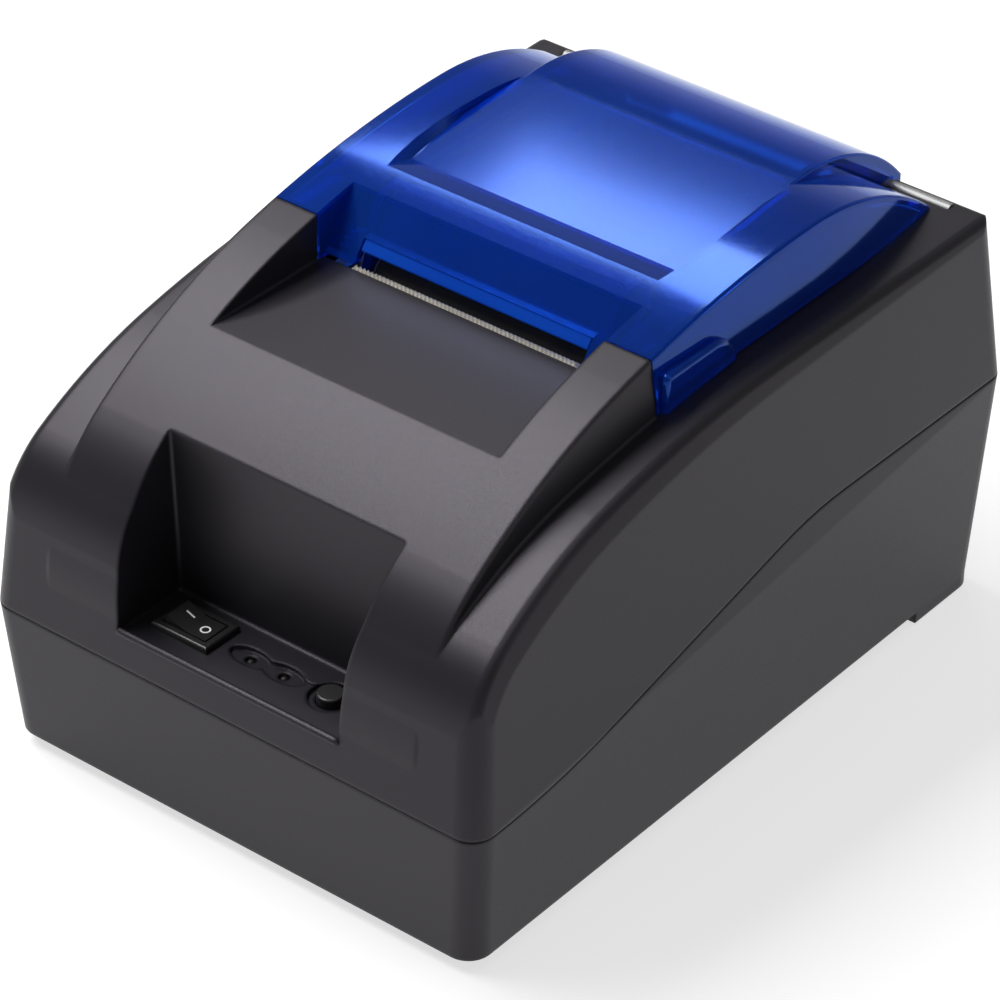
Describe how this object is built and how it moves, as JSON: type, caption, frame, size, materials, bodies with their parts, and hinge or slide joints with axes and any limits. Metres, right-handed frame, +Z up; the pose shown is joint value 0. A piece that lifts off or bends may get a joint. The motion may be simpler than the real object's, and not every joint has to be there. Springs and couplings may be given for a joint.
{
  "type": "receipt printer",
  "caption": "Desktop thermal receipt printer: black two-part case, translucent blue paper cover hinged at the rear, serrated tear bar and a front niche with switch, lights and button.",
  "frame": {"origin": "centre of the footprint, on the surface that the feet stand on", "axes": "+Z up, -Y towards the front with the control niche, +X to the right seen from the front"},
  "size_m": [0.13, 0.1832, 0.1118],
  "materials": {
    "case_black": "satin moulded texture",
    "cover_blue": "translucent, glossy",
    "chassis_black": "plain moulded",
    "control_black": "semi-gloss",
    "light_lens": "dark lens, unlit",
    "steel": "plain sheet and bar",
    "gear_nylon": "natural nylon",
    "rubber": "matt",
    "head_ceramic": "glazed ceramic",
    "sink_aluminium": "as pressed",
    "board_green": "solder mask",
    "cable_film": "polyimide film"
  },
  "bodies": {
    "case": {"board_components": "chassis_black", "board_screws": "steel", "case_screws": "steel", "chassis_screws": "steel", "dc_inlet": "chassis_black", "drawer_port": "chassis_black", "frame_screws": "steel", "head_cable": "cable_film", "head_pivot_pin": "steel", "head_spring": "steel", "hinge_rod": "steel", "idler_post": "steel", "lower_base": "case_black", "main_board": "board_green", "mechanism_frame": "steel", "motor_body": "steel", "motor_screws": "steel", "panel_board": "board_green", "panel_screws": "steel", "paper_chassis": "chassis_black", "paper_sensor": "chassis_black", "rubber_feet": "rubber", "status_lights": "light_lens", "switch_body": "control_black", "tact_switch": "chassis_black", "tear_bar": "steel", "upper_housing": "case_black", "usb_port": "steel"},
    "cover": {"cover_shell": "cover_blue", "platen_holder": "cover_blue", "platen_bushes": "gear_nylon"},
    "platen": {"platen_shaft": "steel", "platen_rubber": "rubber", "platen_gear": "gear_nylon"},
    "idler": {"idler_gear": "gear_nylon"},
    "rotor": {"motor_shaft": "steel", "motor_pinion": "gear_nylon"},
    "rocker": {"switch_rocker": "control_black"},
    "button": {"feed_button": "control_black"},
    "head": {"thermal_head": "head_ceramic", "heat_sink": "sink_aluminium"}
  },
  "joints": [
    {"name": "cover_hinge", "type": "hinge", "parent": "case", "child": "cover", "pos_m": [0, 0.0846, 0.0941], "axis": [-1, 0, 0], "range_deg": [0, 90]},
    {"name": "platen_spin", "type": "hinge", "parent": "cover", "child": "platen", "pos_m": [0, -0.005, 0.0895], "axis": [1, 0, 0], "continuous": true},
    {"name": "idler_spin", "type": "hinge", "parent": "case", "child": "idler", "pos_m": [0, -0.00429, 0.07632], "axis": [1, 0, 0], "continuous": true},
    {"name": "motor_spin", "type": "hinge", "parent": "case", "child": "rotor", "pos_m": [0, 0.00531, 0.06912], "axis": [1, 0, 0], "continuous": true},
    {"name": "power_rocker", "type": "hinge", "parent": "case", "child": "rocker", "pos_m": [-0.0176, -0.08, 0.0448], "axis": [0, -1, 0], "range_deg": [0, 20]},
    {"name": "feed_press", "type": "slide", "parent": "case", "child": "button", "axis": [0, 0, -1], "range_m": [0, 0.0008], "stiffness_N_per_m": 600},
    {"name": "head_pivot", "type": "hinge", "parent": "case", "child": "head", "pos_m": [0, -0.01235, 0.0665], "axis": [1, 0, 0], "range_deg": [0, 1.5], "stiffness_Nm_per_rad": 2, "deforming": ["head_spring"]}
  ],
  "couplings": [
    {"joint": "idler_spin", "follows": "platen_spin", "ratio": -0.83333},
    {"joint": "motor_spin", "follows": "platen_spin", "ratio": 1.25}
  ]
}
